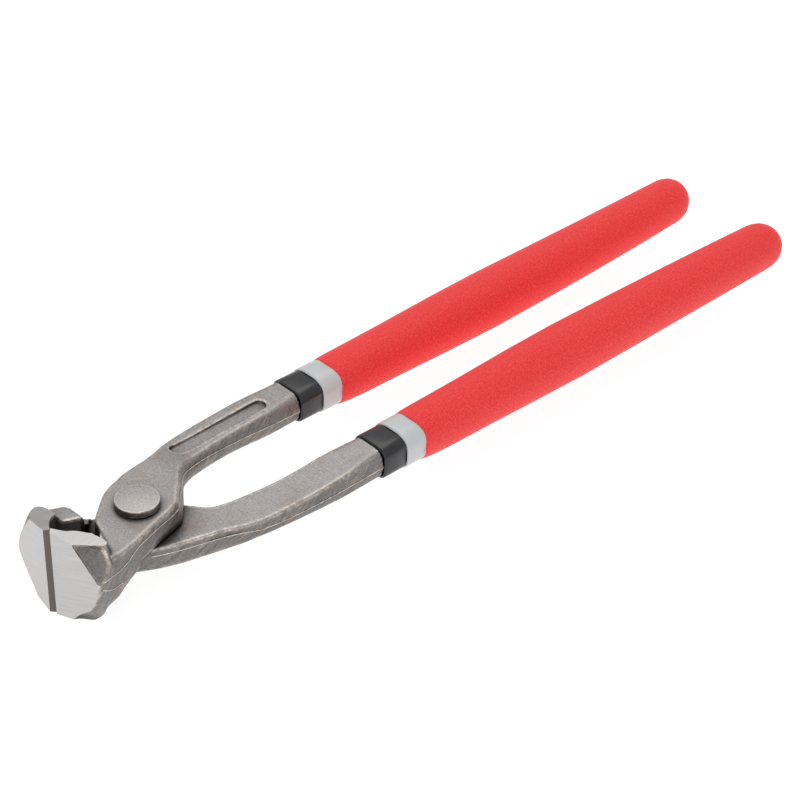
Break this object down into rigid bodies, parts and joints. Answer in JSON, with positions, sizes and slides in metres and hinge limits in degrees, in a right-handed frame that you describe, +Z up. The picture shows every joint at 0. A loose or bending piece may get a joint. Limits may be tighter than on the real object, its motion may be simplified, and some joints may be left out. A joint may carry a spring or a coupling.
{
  "type": "concreters nippers",
  "caption": "End-cutting tower pincers for tying wire: crossed forged levers with wide ground jaws, a headed rivet and layered dipped grips.",
  "frame": {"origin": "under the middle of the tool's box, at the height of the lowest ground jaw facet", "axes": "+X across the handles, +Y from the jaws to the handle ends, +Z up through the rivet, head upwards"},
  "size_m": [0.0556, 0.277, 0.0302],
  "materials": {
    "forged_steel": "tumbled drop forging, ground jaw faces",
    "rivet_steel": "turned, with a rubbed rim",
    "black_vinyl": "glossy dip coat",
    "grey_vinyl": "satin dip coat",
    "red_vinyl": "matte dip coat with a fine sandy texture"
  },
  "bodies": {
    "lower_half": {"lower_lever": "forged_steel", "pivot_rivet": "rivet_steel", "lower_black_coat": "black_vinyl", "lower_grey_coat": "grey_vinyl", "lower_red_grip": "red_vinyl"},
    "upper_half": {"upper_lever": "forged_steel", "upper_black_coat": "black_vinyl", "upper_grey_coat": "grey_vinyl", "upper_red_grip": "red_vinyl"}
  },
  "joints": [
    {"name": "pivot_hinge", "type": "hinge", "parent": "lower_half", "child": "upper_half", "pos_m": [0, -0.1096, 0.0151], "axis": [0, 0, 1], "range_deg": [0, 40]}
  ]
}
